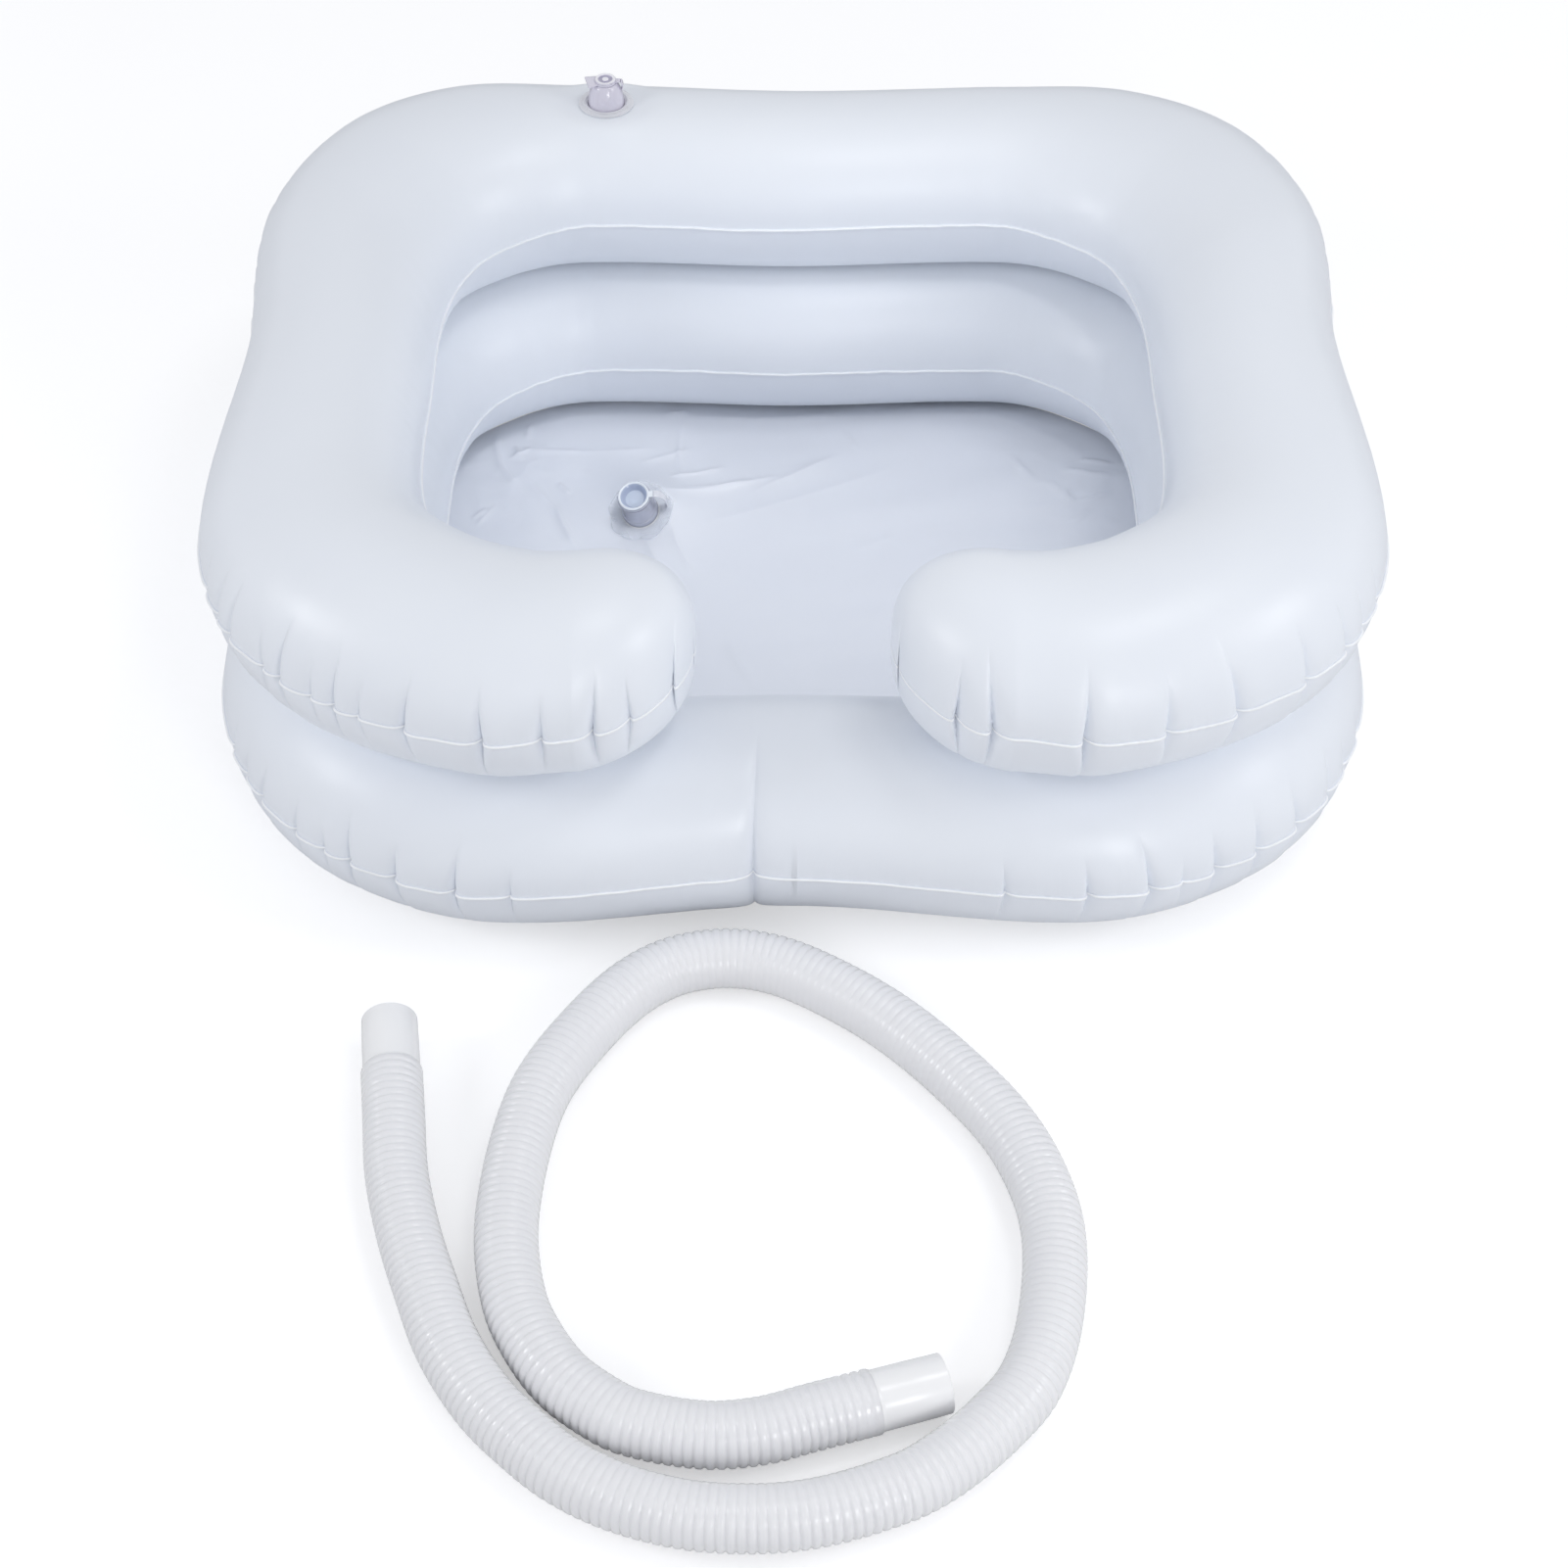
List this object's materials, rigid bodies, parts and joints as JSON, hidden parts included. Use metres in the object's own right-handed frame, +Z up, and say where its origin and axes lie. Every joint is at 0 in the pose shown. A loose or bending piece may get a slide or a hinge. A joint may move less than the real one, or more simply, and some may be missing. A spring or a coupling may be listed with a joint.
{
  "type": "portable inflatable shampoo basin",
  "caption": "Inflatable hair-washing basin: stacked air rings with a neck opening, push-in air valves, floor sheet, tilted drain with plug, and a loose ribbed drain hose.",
  "frame": {"origin": "middle of the basin's footprint, on the ground it rests on, measured without the loose hose", "axes": "+X across the basin to the right as seen from the neck opening, +Y to the back, away from the neck opening, +Z up"},
  "size_m": [0.62, 0.898, 0.225],
  "materials": {
    "white_pvc_skin": "satin",
    "floor_pvc_film": "satin",
    "valve_clear_pvc": "gloss",
    "drain_clear_pvc": "gloss",
    "hose_milky_plastic": "satin"
  },
  "bodies": {
    "basin": {"lower_ring_bottom_sheet": "white_pvc_skin", "lower_ring_top_sheet": "white_pvc_skin", "upper_ring_bottom_sheet": "white_pvc_skin", "upper_ring_top_sheet": "white_pvc_skin", "floor_sheet": "floor_pvc_film", "upper_valve_flange": "valve_clear_pvc", "lower_valve_flange": "valve_clear_pvc", "drain_flange": "drain_clear_pvc", "drain_spout": "drain_clear_pvc", "drain_strap": "drain_clear_pvc", "drain_hose": "hose_milky_plastic", "hose_inlet_cuff": "hose_milky_plastic", "hose_outlet_cuff": "hose_milky_plastic"},
    "upper_valve_stem": {"upper_valve_stem": "valve_clear_pvc", "upper_valve_strap": "valve_clear_pvc"},
    "upper_valve_stopper": {"upper_valve_stopper": "valve_clear_pvc"},
    "upper_valve_flap": {"upper_valve_check_flap": "valve_clear_pvc"},
    "lower_valve_stem": {"lower_valve_stem": "valve_clear_pvc", "lower_valve_strap": "valve_clear_pvc"},
    "lower_valve_stopper": {"lower_valve_stopper": "valve_clear_pvc"},
    "lower_valve_flap": {"lower_valve_check_flap": "valve_clear_pvc"},
    "drain_plug": {"drain_plug": "drain_clear_pvc"}
  },
  "joints": [
    {"name": "upper_valve_push_in", "type": "slide", "parent": "basin", "child": "upper_valve_stem", "axis": [0, 0, -1], "range_m": [0, 0.012]},
    {"name": "upper_valve_stopper_hinge", "type": "hinge", "parent": "upper_valve_stem", "child": "upper_valve_stopper", "pos_m": [-0.0992, 0.21595, 0.22363], "axis": [0.007, 1, 0], "range_deg": [0, 110]},
    {"name": "upper_valve_flap_hinge", "type": "hinge", "parent": "upper_valve_stem", "child": "upper_valve_flap", "pos_m": [-0.1013, 0.21597, 0.20593], "axis": [-0.007, -1, 0], "range_deg": [0, 60], "stiffness_Nm_per_rad": 0.0005},
    {"name": "lower_valve_push_in", "type": "slide", "parent": "basin", "child": "lower_valve_stem", "axis": [0.016, -0.7378, -0.6749], "range_m": [0, 0.012]},
    {"name": "lower_valve_stopper_hinge", "type": "hinge", "parent": "lower_valve_stem", "child": "lower_valve_stopper", "pos_m": [0.11901, 0.2607, 0.09915], "axis": [-0.0146, 0.6747, -0.7379], "range_deg": [0, 110]},
    {"name": "lower_valve_flap_hinge", "type": "hinge", "parent": "lower_valve_stem", "child": "lower_valve_flap", "pos_m": [0.1172, 0.2476, 0.08721], "axis": [0.0146, -0.6747, 0.7379], "range_deg": [0, 60], "stiffness_Nm_per_rad": 0.0005},
    {"name": "drain_plug_hinge", "type": "hinge", "parent": "basin", "child": "drain_plug", "pos_m": [-0.08181, 0.07744, 0.0296], "axis": [-0.0348, 0.9218, 0.3861], "range_deg": [0, 110]}
  ]
}
